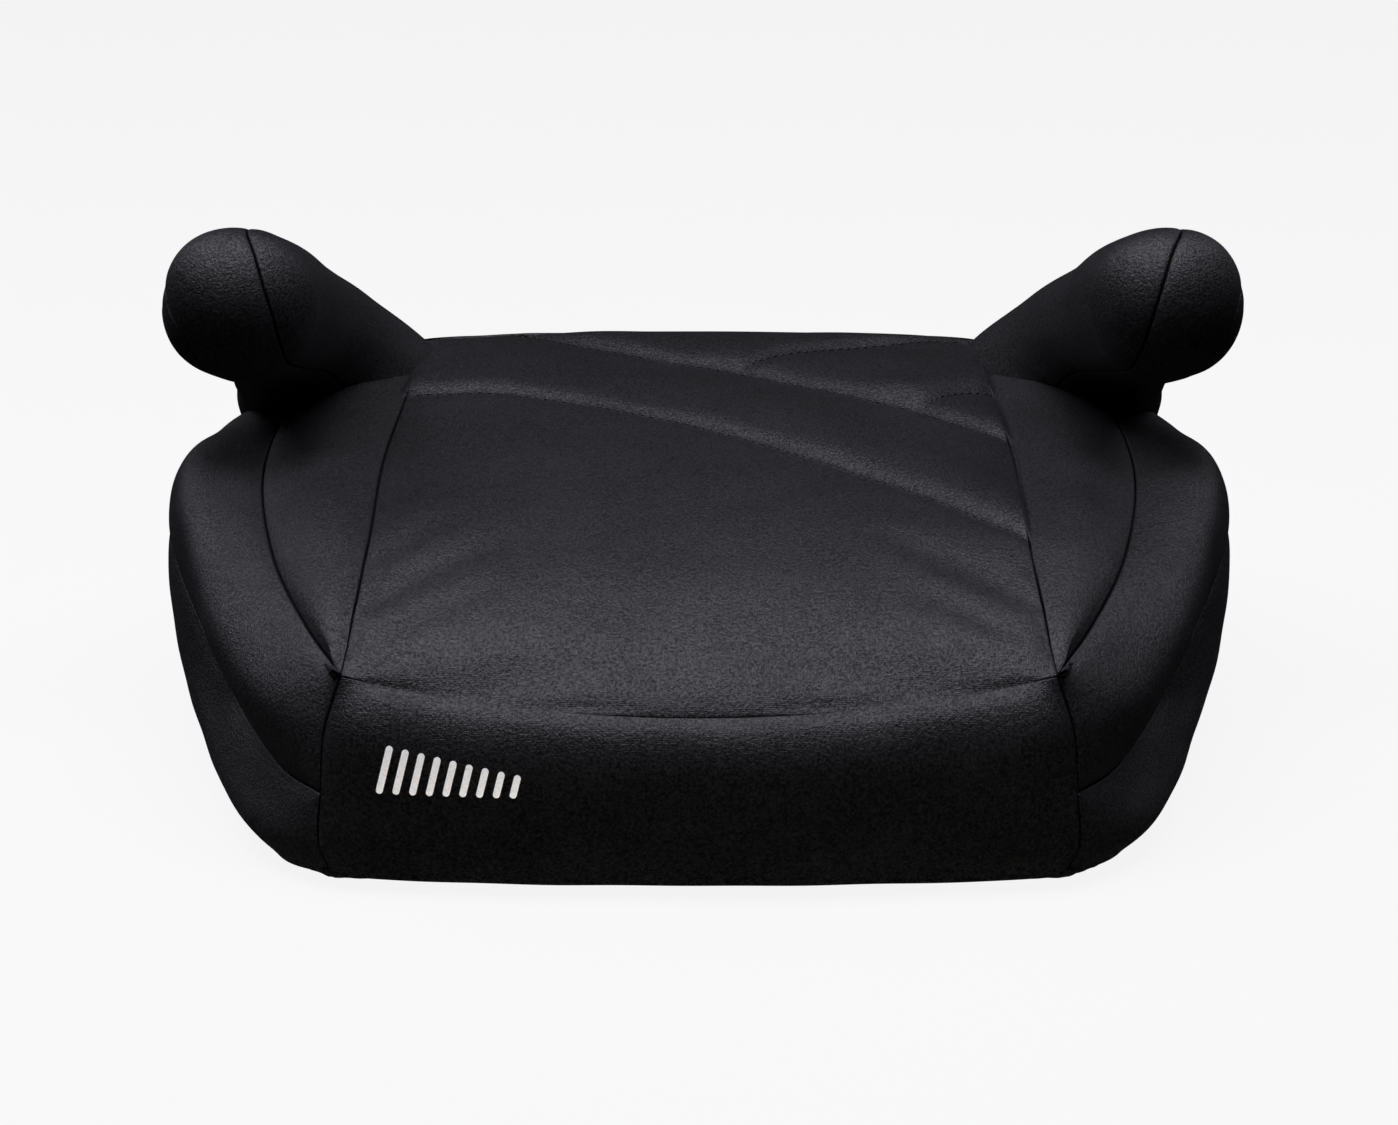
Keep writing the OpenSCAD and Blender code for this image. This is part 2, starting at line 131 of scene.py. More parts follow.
def spaced(length, fine_start=True, fine_end=True):
    """Shares of a span, 0 to 1, in even cells that get finer towards its sewn ends."""
    ends = (fine_start + fine_end) * sum(FINE_CELLS)
    middle = [CELL] * max(2, round((length - ends) / CELL))
    cells = fine_start * FINE_CELLS + middle + fine_end * FINE_CELLS[::-1]
    x = np.concatenate([[0], np.cumsum(cells)])
    return x / x[-1]


def by_length(row, shares):
    """Parameters of a row that lie at these shares of its length."""
    u = np.linspace(0, 1, 400)
    steps = np.linalg.norm(np.diff(along(row, u), axis=0), axis=1)
    length = np.concatenate([[0], np.cumsum(steps)])
    return np.interp(shares * length[-1], length, u)


# Cloth lengths that the grids are spaced for, in millimetres.
SEAT_LONG, SEAT_HALF, INNER_WIDE, OUTER_WIDE, UNDER_WIDE = 370, 128, 48, 72, 84
SLEEVE_WIDE = {"outer": 46, "inner": 52, "gusset": 46}

S_GRID = by_length(SIDE_ROWS[0], spaced(SEAT_LONG))
F_HALF = spaced(SEAT_HALF, False, True)
F_GRID = np.concatenate([-F_HALF[:0:-1], F_HALF])
T_INNER = spaced(INNER_WIDE) * CREST
T_OUTER = CREST + spaced(OUTER_WIDE) * (LOWER - CREST)
T_UNDER = LOWER + spaced(UNDER_WIDE, True, False) * (1 - LOWER)
T_FRONT = (np.concatenate([T_OUTER, T_UNDER[1:]]) - CREST) / (1 - CREST)
T_BACK = np.concatenate([T_INNER, T_OUTER[1:], T_UNDER[1:]])


def run_length(grid, axis):
    """Distance along the grid's lines from its first line, at each point."""
    steps = np.linalg.norm(np.diff(grid, axis=axis), axis=2)
    zero = np.zeros_like(np.take(steps, [0], axis))
    return np.concatenate([zero, np.cumsum(steps, axis=axis)], axis=axis)


def seam_distance(grid, sewn):
    """Distance in the cloth to the nearest sewn border. sewn: i start, i end, j start, j end."""
    found = np.full(grid.shape[:2], 1e3)
    for axis in (0, 1):
        run = run_length(grid, axis)
        total = np.take(run, [-1], axis)
        if sewn[2 * axis]:
            found = np.minimum(found, run)
        if sewn[2 * axis + 1]:
            found = np.minimum(found, total - run)
    return found


def between_ends(grid, axis, reach):
    """0 at the grid's two ends along an axis, rising to 1 within this reach."""
    run = run_length(grid, axis)
    near = np.minimum(run, np.take(run, [-1], axis) - run)
    return 1 - np.exp(-(near / reach) ** 2)


def unit(v):
    return v / np.maximum(np.linalg.norm(v, axis=-1, keepdims=True), 1e-9)


def mirrored(grid):
    return grid * np.array([-1, 1, 1])


# ---------------------------------------------------------------- armrests

ARM_C = [[160, 146, 84], [162, 134, 110], [167, 102, 131], [177, 54, 155], [186, 6, 178]]
ARM_U = [[40, -12, 0], [39, -8, -4], [33, -4, -8], [29, 0, -6], [31, 0, 0]]
ARM_W = [[0, 22, 8], [0, 26, 14], [0, 25, 22], [0, 14, 28], [0, 2, 32]]
ARM_NOSE = np.array([1, -27, 7], float)
SECTION_POWER = 2.2
# Stations along the arm, from its root to its head.
ARM_STATIONS = 48
# Where the gusset's two seams run, as shares of the half width (-1 inner side, +1 outer side),
# round the loop: up the back and top to the head, round the head, and down the front of the stalk.
LOOP_AT = [0.0, 0.2, 0.36, 0.405, 0.425, 0.455, 0.50, 0.54, 0.58, 0.64, 0.75, 0.88, 1.0]
SEAM_INNER = {
    "left": [-0.55, -0.40, -0.22, -0.12, -0.18, -0.34, -0.54, -0.62, -0.66, -0.60, -0.50, -0.48, -0.55],
    "right": [-0.55, -0.35, -0.08, 0.18, 0.10, -0.08, -0.30, -0.44, -0.54, -0.54, -0.50, -0.48, -0.55],
}
SEAM_OUTER = [0.62, 0.76, 0.92, 0.96, 0.97, 0.96, 0.88, 0.56, 0.38, 0.36, 0.40, 0.44, 0.55]
# The right armrest stands a little further out than the left one.
ARM_LEAN = {"left": 0.0, "right": 3.5}
# Fullness along the arm, as shares of its length and depths in millimetres: a waist above, a hollow
# below the head, a stout outer side, and a slim inner side.
WAIST = {"at": 0.74, "wide": 0.13, "deep": 0.8}
HOLLOW = {"at": 0.60, "wide": 0.22, "deep": 14.0}
STOUT = {"at": 0.26, "wide": 0.16, "deep": 2.0}
SLIM = {"at": 0.48, "wide": 0.22, "deep": 4.0}


def rounded(x):
    return np.sign(x) * np.abs(x) ** (2 / SECTION_POWER)


def section_angle(share):
    return np.arccos(np.sign(share) * np.abs(share) ** (SECTION_POWER / 2))


def arm_loop():
    """Stations round the arm's loop: place along the arm, and how far up (1) or down (-1) or forward."""
    rise = np.linspace(0, 1, ARM_STATIONS)
    turn = np.radians(np.linspace(90, -90, 21))[1:-1]
    u = np.concatenate([rise, np.ones(len(turn)), rise[::-1]])
    up = np.concatenate([np.ones(len(rise)), np.sin(turn), -np.ones(len(rise))])
    forward = np.concatenate([np.zeros(len(rise)), np.cos(turn), np.zeros(len(rise))])
    at = np.concatenate([0.40 * rise, 0.40 + 0.18 * (0.5 - turn / math.pi), 1 - 0.42 * rise[::-1]])
    return u, up, forward, at


def dip(u, shape):
    return shape["deep"] * np.exp(-((u - shape["at"]) / shape["wide"]) ** 2)


def arm_panel(which, hand):
    """Grid of one panel of the sleeve: round the loop, and across from its outer to its inner edge."""
    u, up, forward, at = arm_loop()
    inner = section_angle(np.interp(at, LOOP_AT, SEAM_INNER[hand]))[:, None]
    outer = section_angle(np.interp(at, LOOP_AT, SEAM_OUTER))[:, None]
    if which == "outer":
        angle = outer * spaced(SLEEVE_WIDE[which], False, True)[None]
    elif which == "inner":
        angle = math.pi + (inner - math.pi) * spaced(SLEEVE_WIDE[which], False, True)[None, ::-1]
    else:
        angle = outer + (inner - outer) * spaced(SLEEVE_WIDE[which])[None]
    c, a, b = along(ARM_C, u), along(ARM_U, u), along(ARM_W, u)
    b = b - unit(b) * (dip(u, WAIST) * (up > 0) + dip(u, HOLLOW) * (up < 0))[:, None]
    a = a - unit(a) * (0.6 * dip(u, WAIST))[:, None]
    c = c + np.array([ARM_LEAN[hand], 0, 0]) * u[:, None] ** 2
    c[:, 2] += 1.2 * np.sin(math.pi * np.clip((u - 0.75) / 0.25, 0, 1))
    outward = np.cos(angle) > 0
    wider = np.where(outward, dip(u, STOUT)[:, None], -dip(u, SLIM)[:, None])
    a = a[:, None] + unit(a)[:, None] * wider[..., None]
    reach = b * up[:, None] + ARM_NOSE * forward[:, None]
    return (c[:, None] + a * rounded(np.cos(angle))[..., None]
            + reach[:, None] * rounded(np.sin(angle))[..., None])


# ---------------------------------------------------------------- quilting of the seat panel
# Each sewn channel as points on the seat in plan, and which side of it the cushion stands higher.

CHANNELS = [
    [[-129, 84], [-100, 82], [-60, 68], [0, 30], [40, -2], [80, -40], [132, -96]],
    [[-86, 184], [-55, 153], [-20, 130], [17, 108], [60, 76], [100, 44], [130, 20]],
    [[17, 108], [42, 130], [68, 146], [100, 160], [124, 168]],
    [[93, 50], [104, 66], [114, 76], [127, 84]],
]


def smooth_line(points, n):
    return along(np.asarray(points, float), np.linspace(0, 1, n))


# Rise and reach of the pads behind and before a channel, and on both sides of the front seam.
PILLOW_BEHIND = (4.2, 15)
PILLOW_BEFORE = (0.8, 7)
SEAT_EDGE = (2.2, 11)
FRONT_EDGE = (4.2, 17)
EDGE_FADE = 7
# Width and depth of a channel, the crown of the seat, and where the pads fade at the rear seam.
CHANNEL_WIDE = 2.2
CHANNEL_DEEP = 1.6
CROWN = {"rise": 3.5, "y": 35, "reach": 75, "fade": 40}
REAR_FADE = 12
# Points of a channel that starts at another one over which its pads grow to full height.
CHANNEL_START = 40


def rise_from(d, height, reach):
    """A pad's profile beside a seam: steep at the seam, full at this reach, then easing back."""
    return height * (d / reach) * np.exp(1 - d / reach)


def channel_offsets(x, y):
    """Distance to the nearest channel, and the extra height of the cushion beside the channels."""
    nearest = np.full(x.shape, 1e3)
    raised = np.zeros(x.shape)
    for points in CHANNELS:
        line = smooth_line(points, 160)
        dx = x[..., None] - line[:, 0]
        dy = y[..., None] - line[:, 1]
        gap = np.sqrt(dx ** 2 + dy ** 2)
        k = gap.argmin(-1)
        d = np.take_along_axis(gap, k[..., None], -1)[..., 0]
        ahead = unit(np.gradient(line, axis=0))[k]
        behind = (ahead[..., 0] * np.take_along_axis(dy, k[..., None], -1)[..., 0]
                  - ahead[..., 1] * np.take_along_axis(dx, k[..., None], -1)[..., 0]) > 0
        start = np.clip(k / CHANNEL_START, 0, 1) if points[0][0] > 0 else 1.0
        raised += start * np.where(behind, rise_from(d, *PILLOW_BEHIND), rise_from(d, *PILLOW_BEFORE))
        nearest = np.minimum(nearest, d)
    return nearest, raised


# ---------------------------------------------------------------- cloth panels before sewing

RIGHT_LEFT = (("right", 1), ("left", -1))
PANELS = {}


def add_panel(name, grid, sewn, uv=None, soft=None, fill=0.7, extra=0.0, valley=1.0, arm=False,
              rolled=None):
    if uv is None:
        uv = np.stack([run_length(grid, 0), run_length(grid, 1)], -1)
    PANELS[name] = {
        "grid": grid, "sewn": sewn, "uv": uv, "nodes": soft, "fill": fill, "arm": arm,
        "seam": seam_distance(grid, sewn), "extra": extra, "valley": valley, "rolled": rolled or sewn,
    }


def make_panels():
    seat = deck(F_GRID, S_GRID)
    channel, raised = channel_offsets(seat[..., 0], seat[..., 1])
    run = run_length(seat, 1)
    to_rear = run[:, -1:] - run
    relief = -CHANNEL_DEEP * np.exp(-(channel / CHANNEL_WIDE) ** 2)
    relief = relief + raised * (1 - np.exp(-(to_rear / REAR_FADE) ** 2))
    crown = CROWN["rise"] * np.exp(-((seat[..., 1] - CROWN["y"]) / CROWN["reach"]) ** 2)
    relief += crown * between_ends(seat, 0, CROWN["fade"])
    relief += rise_from(run, *SEAT_EDGE) * between_ends(seat, 0, EDGE_FADE)
    add_panel("cover_seat_panel", seat, (1, 1, 1, 1), seat[..., :2],
              ["cover_seat_panel"], 0.8, relief)
    PANELS["cover_seat_panel"]["channel"] = channel
    face = front(F_GRID, T_FRONT)
    add_panel("cover_front_panel", face, (1, 1, 1, 0), face[..., ::2],
              ["cover_front_panel"], 0.8,
              rise_from(run_length(face, 1), *FRONT_EDGE) * between_ends(face, 0, EDGE_FADE))
    rear = back(F_GRID, T_BACK)
    add_panel("cover_back_panel", rear, (1, 1, 1, 0), rear[..., ::2],
              ["cover_back_panel"], 0.8, rolled=(0, 0, 1, 0))
    for hand, sign in RIGHT_LEFT:
        def place(grid):
            return grid if sign > 0 else mirrored(grid)
        add_panel(f"cover_bolster_inner_{hand}", place(side(S_GRID, T_INNER)), (0, 1, 1, 1), None,
                  [f"cover_bolster_inner_{hand}"], 0.9)
        add_panel(f"cover_bolster_outer_{hand}", place(side(S_GRID, T_OUTER)), (1, 1, 1, 1), None,
                  [f"cover_bolster_outer_{hand}"], 0.9)
        add_panel(f"cover_side_{hand}", place(side(S_GRID, T_UNDER)), (1, 1, 1, 0), None,
                  [f"cover_side_{hand}"], 0.7)
        arms = {w: place(arm_panel(w, hand)) for w in ("inner", "outer", "gusset")}
        add_panel(f"cover_arm_inner_{hand}", arms["inner"], (0, 0, 1, 0), None,
                  [f"cover_arm_inner_{hand}"], 0.8, valley=0.3, arm=True)
        add_panel(f"cover_arm_outer_{hand}", arms["outer"], (0, 0, 0, 1), None,
                  [f"cover_arm_outer_{hand}"], 0.8, valley=0.3, arm=True)
        add_panel(f"cover_arm_gusset_{hand}", arms["gusset"], (0, 0, 1, 1), None,
                  [f"cover_arm_gusset_{hand}"], 0.8, valley=0.3, arm=True)


# ---------------------------------------------------------------- sewing the panels into one skin

# Points in the same small cell are one point of the seam; the offset keeps round numbers off cell edges.
SEW_CELL = 0.02
SEW_OFFSET = 0.00137


def sew(names):
    """Joins the panels' grids at their shared borders: points, quads, and each panel's point numbers."""
    stacked = np.concatenate([PANELS[n]["grid"].reshape(-1, 3) for n in names])
    keys = np.round((stacked + SEW_OFFSET) / SEW_CELL).astype(np.int64)
    _, first, number = np.unique(keys, axis=0, return_index=True, return_inverse=True)
    number = number.reshape(-1)
    points = stacked[first]
    start, numbers, faces = 0, {}, []
    for name in names:
        shape = PANELS[name]["grid"].shape[:2]
        ids = number[start:start + shape[0] * shape[1]].reshape(shape)
        start += ids.size
        numbers[name] = ids
        corners = np.stack([ids[:-1, :-1], ids[1:, :-1], ids[1:, 1:], ids[:-1, 1:]], -1).reshape(-1, 4)
        if PANELS[name]["flip"]:
            corners = corners[:, ::-1]
        for q in corners.tolist():
            loop = [a for k, a in enumerate(q) if a != q[k - 1]]
            if len(loop) > 2:
                faces.append(loop)
    return points, faces, numbers


def set_winding():
    """Marks the panels whose grid has to be turned over for its faces to look outward."""
    for name, panel in PANELS.items():
        grid = panel["grid"]
        inside = np.array([0.0, 0.0, 55.0])
        i, j = grid.shape[0] // 2, grid.shape[1] // 2
        if panel["arm"]:
            i = ARM_STATIONS // 2
            inside = along(ARM_C, arm_loop()[0][i]) * np.array([np.sign(grid[i, j, 0]), 1, 1])
        across_i = grid[i + 1, j] - grid[i - 1, j]
        across_j = grid[i, j + 1] - grid[i, j - 1]
        panel["flip"] = bool(np.dot(np.cross(across_i, across_j), grid[i, j] - inside) < 0)


def point_normals(points, faces):
    total = np.zeros_like(points)
    for size in (3, 4):
        loops = np.array([f for f in faces if len(f) == size], int).reshape(-1, size)
        a, b = points[loops[:, 1]] - points[loops[:, 0]], points[loops[:, -1]] - points[loops[:, 0]]
        c = points[loops[:, 2]] - points[loops[:, 0]]
        n = np.cross(a, c) + (np.cross(c, b) if size == 4 else 0)
        for k in range(size):
            np.add.at(total, loops[:, k], n)
    return unit(total)


def gather(numbers, count, key, merge=np.minimum, start=1e3):
    """One value per sewn point from a per-panel value."""
    values = np.full(count, float(start))
    for name, ids in numbers.items():
        merge.at(values, ids.reshape(-1), np.broadcast_to(PANELS[name][key], ids.shape).reshape(-1))
    return values


def tree_of(points, faces):
    return BVHTree.FromPolygons([Vector(p) for p in points], faces)


def height_over(tree, points):
    """Signed distance of points from a closed skin, positive outside it."""
    found = np.zeros(len(points))
    for k, p in enumerate(points):
        hit, normal, _, distance = tree.find_nearest(Vector(p))
        found[k] = distance if (Vector(p) - hit).dot(normal) > 0 else -distance
    return found


def ripple(points, seed, size):
    """Smooth unevenness of hand-fitted cloth, about -1 to 1."""
    draw = np.random.default_rng(seed)
    total = np.zeros(len(points))
    for _ in range(7):
        wave = draw.normal(size=3)
        wave *= 2 * math.pi / (size * draw.uniform(0.7, 1.6) * np.linalg.norm(wave))
        total += np.sin(points @ wave + draw.uniform(0, 6.28))
    return total / 3.2


# Folds gathered at the foot of each armrest: middle, size, direction across the folds, pitch, height.
FOLDS = [
    [[157, 96, 124], [10, 16, 13], [0.50, 0.15, 0.85], 8.5, 1.9],
    [[190, 96, 126], [12, 16, 14], [-0.45, 0.0, 0.89], 12.0, 0.9],
    [[150, 118, 122], [14, 18, 9], [0.2, 0.5, 0.85], 13.0, 0.8],
]


def fold_heights(points, sign):
    total = np.zeros(len(points))
    for k, (middle, size, across_folds, pitch, height) in enumerate(FOLDS):
        p = points * np.array([sign, 1, 1])
        near = np.exp(-(((p - middle) / size) ** 2).sum(1))
        place = (p - middle) @ unit(np.array(across_folds)) + 1.6 * np.sin(p[:, 1] / 9 + k + sign)
        total += near * height * np.cos(2 * math.pi * place / pitch + 0.7 * sign)
    return total


# How far armrest and bolster lean into each other where they meet, and over what distance.
FLARE = 8.5
FLARE_OVER = 17.0
# Seams: depth and width of the crease, of the soft valley round it, and the fullness between seams.
CREASE, CREASE_WIDE = 1.3, 3.2
VALLEY, VALLEY_WIDE = 0.9, 9
FULLNESS, FULLNESS_WIDE = 1.2, 26
# Unevenness of the cloth: height, size, and how far from a seam it is full.
UNEVEN, UNEVEN_SIZE, UNEVEN_FADE = 0.45, 46, 12
RIPPLE_SEED = 11
# Where the seat panel, the front panel and the bolster's two panels meet.
CORNER = np.array([133, -172, 82], float)
CORNER_REACH = 9
CORNER_CALM = 0.85
REAR_Y, REAR_REACH = 166, 18


def clear_of_rear(points):
    return np.clip((REAR_Y - points[:, 1]) / REAR_REACH, 0, 1)


def shape_skin():
    """Presses the seams in, raises the pads and blends armrests and seat into each other."""
    names = [n for n in PANELS if not PANELS[n]["arm"]]
    body, body_faces, body_ids = sew(names)
    arms = {}
    for hand, sign in RIGHT_LEFT:
        arm_names = [n for n in PANELS if PANELS[n]["arm"] and n.endswith(hand)]
        arms[sign] = sew(arm_names)
    tree = tree_of(body, body_faces)
    skins = [(body, body_faces, body_ids, 0)] + [(*arms[s], s) for s in arms]
    shaped = []
    for points, faces, ids, sign in skins:
        normals = point_normals(points, faces)
        seam = gather(ids, len(points), "seam")
        valley = gather(ids, len(points), "valley", np.maximum, 0)
        lift = valley * (-CREASE * np.exp(-(seam / CREASE_WIDE) ** 2) - VALLEY * np.exp(-seam / VALLEY_WIDE))
        lift += gather(ids, len(points), "extra", np.maximum, -1e3)
        lift += FULLNESS * (1 - np.exp(-(seam / FULLNESS_WIDE) ** 2)) * valley
        uneven = UNEVEN * ripple(points, RIPPLE_SEED + sign, UNEVEN_SIZE)
        lift += uneven * (1 - np.exp(-(seam / UNEVEN_FADE) ** 2))
        if sign:
            over = height_over(tree, points)
            facing = np.clip(0.4 - 0.9 * normals[:, 0] * sign, 0, 1) * clear_of_rear(points)
            lift += FLARE * facing * np.exp(-np.maximum(over, 0) / FLARE_OVER)
            lift += fold_heights(points, sign)
        else:
            for s in arms:
                near = height_over(tree_of(arms[s][0], arms[s][1]), points)
                between = np.clip((175 - points[:, 0] * s) / 30, 0, 1) * clear_of_rear(points)
                between *= np.clip(1.5 * normals[:, 2] - 0.3, 0, 1)
                lift += 0.5 * FLARE * between * np.exp(-np.maximum(near, 0) / FLARE_OVER)
                away = np.linalg.norm(points - CORNER * np.array([s, 1, 1]), axis=1)
                lift *= 1 - CORNER_CALM * np.exp(-(away / CORNER_REACH) ** 2)
        shaped.append([points + normals * lift[:, None], faces, ids, sign, seam, normals])
    return shaped


# ---------------------------------------------------------------- cloth simulation

CLOTH_FRAMES = 20
MOVE_CAP = 5.0
# What is held while the skin fills: seams and channels within these distances, and the lowest parts.
HELD_SEAM = 0.6
HELD_CHANNEL = 1.6
HELD_BODY_BELOW = 8
HELD_ARM_BELOW = 92


def swell(points, faces, held):
    """Lets air pressure fill the sewn skin while its seams are held, and caps how far a point moves."""
    mesh = bpy.data.meshes.new("swelling")
    mesh.from_pydata((points * MM).tolist(), [], faces)
    ob = link(bpy.data.objects.new("swelling", mesh))
    group = ob.vertex_groups.new(name="held")
    group.add([int(i) for i in np.flatnonzero(held)], 1.0, "REPLACE")
    cloth = ob.modifiers.new("cloth", "CLOTH")
    cloth.settings.quality = 5
    cloth.settings.mass = 0.3
    cloth.settings.tension_stiffness = 18
    cloth.settings.compression_stiffness = 18
    cloth.settings.shear_stiffness = 8
    cloth.settings.bending_stiffness = 4.0
    cloth.settings.use_pressure = True
    cloth.settings.uniform_pressure_force = 3
    cloth.settings.vertex_group_mass = "held"
    cloth.settings.effector_weights.gravity = 0
    cloth.collision_settings.use_collision = False
    scene = bpy.context.scene
    for step in range(1, CLOTH_FRAMES + 1):
        scene.frame_set(step)
    moved = ob.evaluated_get(bpy.context.evaluated_depsgraph_get()).to_mesh()
    out = np.zeros(len(points) * 3)
    moved.vertices.foreach_get("co", out)
    bpy.data.objects.remove(ob)
    bpy.data.meshes.remove(mesh)
    scene.frame_set(1)
    shift = out.reshape(-1, 3) / MM - points
    size = np.linalg.norm(shift, axis=1, keepdims=True)
    return points + shift * np.minimum(1, MOVE_CAP / np.maximum(size, 1e-9))


# ---------------------------------------------------------------- meshes

# Rows of cloth turned into a seam: how far aside from it and how far down, in millimetres.
ROLL = [(0.45, 0.30), (0.30, 1.6), (0.90, 4.2)]


def turned_in(grid, normals, sewn):
    """Adds rows at each sewn border, where the cloth rolls over and goes down into the seam."""
    for axis in (0, 1):
        for end in (0, 1):
            if not sewn[2 * axis + end]:
                continue
            g, n = (np.swapaxes(a, 0, axis) for a in (grid, normals))
            if end:
                g, n = g[::-1], n[::-1]
            inward = unit(g[1] - g[0])
            rows = [g[0] + inward * aside - n[0] * down for aside, down in ROLL]
            g = np.concatenate([rows[::-1], g[1:]])
            n = np.concatenate([[n[0]] * len(ROLL), n[1:]])
            if end:
                g, n = g[::-1], n[::-1]
            grid, normals = np.swapaxes(g, 0, axis), np.swapaxes(n, 0, axis)
    return grid, normals


def padded_rows(uv, sewn):
    """The cloth coordinates with the same rows added as turned_in adds."""
    for axis in (0, 1):
        for end in (0, 1):
            if not sewn[2 * axis + end]:
                continue
            a = np.swapaxes(uv, 0, axis)
            if end:
                a = a[::-1]
            a = np.concatenate([[a[0] + (a[0] - a[1]) * k for k in (2, 1)], a])
            if end:
                a = a[::-1]
            uv = np.swapaxes(a, 0, axis)
    return uv


def link(ob):
    bpy.context.scene.collection.objects.link(ob)
    return ob


def mesh_object(name, points, faces, uv=None):
    """A smooth-shaded object from points in millimetres, quads, and cloth coordinates per point."""
    mesh = bpy.data.meshes.new(name)
    mesh.from_pydata((np.asarray(points) * MM).tolist(), [], [list(map(int, f)) for f in faces])
    if uv is not None:
        layer = mesh.uv_layers.new(name="weave")
        corner = np.zeros(len(mesh.loops), int)
        mesh.loops.foreach_get("vertex_index", corner)
        layer.data.foreach_set("uv", (uv[corner] * MM).astype(np.float32).reshape(-1))
    bm = bmesh.new()
    bm.from_mesh(mesh)
    bmesh.ops.remove_doubles(bm, verts=bm.verts, dist=0.00002)
    bmesh.ops.dissolve_degenerate(bm, dist=0.00001, edges=bm.edges)
    bm.to_mesh(mesh)
    bm.free()
    mesh.shade_smooth()
    return link(bpy.data.objects.new(name, mesh))


def apply_modifiers(ob):
    evaluated = ob.evaluated_get(bpy.context.evaluated_depsgraph_get())
    mesh = bpy.data.meshes.new_from_object(evaluated)
    ob.modifiers.clear()
    old = ob.data
    ob.data = mesh
    mesh.name = ob.name
    bpy.data.meshes.remove(old)


def quads_of(shape, flip=False):
    ids = np.arange(shape[0] * shape[1]).reshape(shape)
    q = np.stack([ids[:-1, :-1], ids[1:, :-1], ids[1:, 1:], ids[:-1, 1:]], -1).reshape(-1, 4)
    return q[:, ::-1] if flip else q


def finish_piece(ob, material, nodes=()):
    ob.data.materials.clear()
    ob.data.materials.append(material)
    if nodes:
        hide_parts(*nodes)
    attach(ob, "root")
    return ob


def make_covers(skins, material):
    made = {}
    for points, faces, ids, *_ in skins:
        normals = point_normals(points, faces)
        for name, numbers in ids.items():
            panel = PANELS[name]
            grid, _ = turned_in(points[numbers], normals[numbers], panel["rolled"])
            uv = padded_rows(panel["uv"], panel["rolled"])
            ob = mesh_object(f"{name}_cloth", grid.reshape(-1, 3),
                             quads_of(grid.shape[:2], panel["flip"]), uv.reshape(-1, 2))
            subdivide = ob.modifiers.new("subdivide", "SUBSURF")
            subdivide.levels = subdivide.render_levels = 1
            apply_modifiers(ob)
            finish_piece(ob, material, panel["nodes"])
            made[name] = ob
    return made


PADDING_UNDER = 4.6
PADDING_IN = 1.6
PADDING = {
    0: ("body_padding", ["seat_foam", "front_foam", "back_foam", "bolster_foam_right", "bolster_foam_left"]),
    1: ("arm_padding_right", ["arm_foam_right"]),
    -1: ("arm_padding_left", ["arm_foam_left"]),
}


def make_padding(skins, material):
    """The foam's skin, just under the cover; it closes the view into the seams."""
    for points, faces, _, sign, _, normals in skins:
        name, nodes = PADDING[sign]
        inner = points - normals * PADDING_UNDER
        if not sign:
            inner += unit(np.array([0.0, 0.0, 50.0]) - points) * PADDING_IN
        ob = mesh_object(name, inner, faces)
        finish_piece(ob, material, nodes)


# ---------------------------------------------------------------- print, stitches and hem

BARS = 9
BAR_STEP = 6.2
BAR_R = 1.3
BAR_FOOT = (-118, 42)
BAR_HEIGHT = 16
BAR_SHORTER = 1.2
BAR_SLANT = 4
PRINT_PROUD = 0.00022


def cover_tree(ob):
    mesh = ob.data
    return BVHTree.FromPolygons([v.co.copy() for v in mesh.vertices], [p.vertices[:] for p in mesh.polygons])


def solidify(ob, thickness, offset=0.0):
    thicken = ob.modifiers.new("thicken", "SOLIDIFY")
    thicken.thickness = thickness * MM
    thicken.offset = offset
    apply_modifiers(ob)


def make_bars(front_cover, material):
    """A row of slanted bars printed on the front panel, each a little shorter than the last."""
    tree = cover_tree(front_cover)
    points, faces = [], []
    for k in range(BARS):
        height = BAR_HEIGHT - BAR_SHORTER * k
        lean = np.array([BAR_SLANT / BAR_HEIGHT, 1.0]) / math.hypot(BAR_SLANT / BAR_HEIGHT, 1.0)
        long = height / lean[1]
        foot_cap = BAR_R * np.sin(np.linspace(-90, 0, 6, endpoint=False) * math.pi / 180)
        head_cap = long + BAR_R * np.sin(np.linspace(90, 0, 6, endpoint=False) * math.pi / 180)[::-1]
        v = np.concatenate([foot_cap, np.linspace(0, long, 9), head_cap])
        over = np.maximum(np.maximum(-v, v - long), 0)
        half = np.sqrt(np.maximum(BAR_R ** 2 - over ** 2, 0.02))
        first = len(points)
        for vi, hi in zip(v, half):
            for w in np.linspace(-1, 1, 5):
                x = BAR_FOOT[0] + k * BAR_STEP + lean[0] * vi + w * hi * lean[1]
                z = BAR_FOOT[1] + lean[1] * vi - w * hi * lean[0]
                hit = tree.ray_cast(Vector((x, -300, z)) * MM, Vector((0, 1, 0)))
                points.append(np.array(hit[0] + hit[1] * PRINT_PROUD) / MM)
        faces += (quads_of((len(v), 5)) + first).tolist()
    ob = mesh_object("printed_bars", points, faces)
    solidify(ob, 0.2)
    return finish_piece(ob, material, ["printed_mark"])


STITCH = 3.0
STITCH_STEP = 4.4
STITCH_R = 0.32


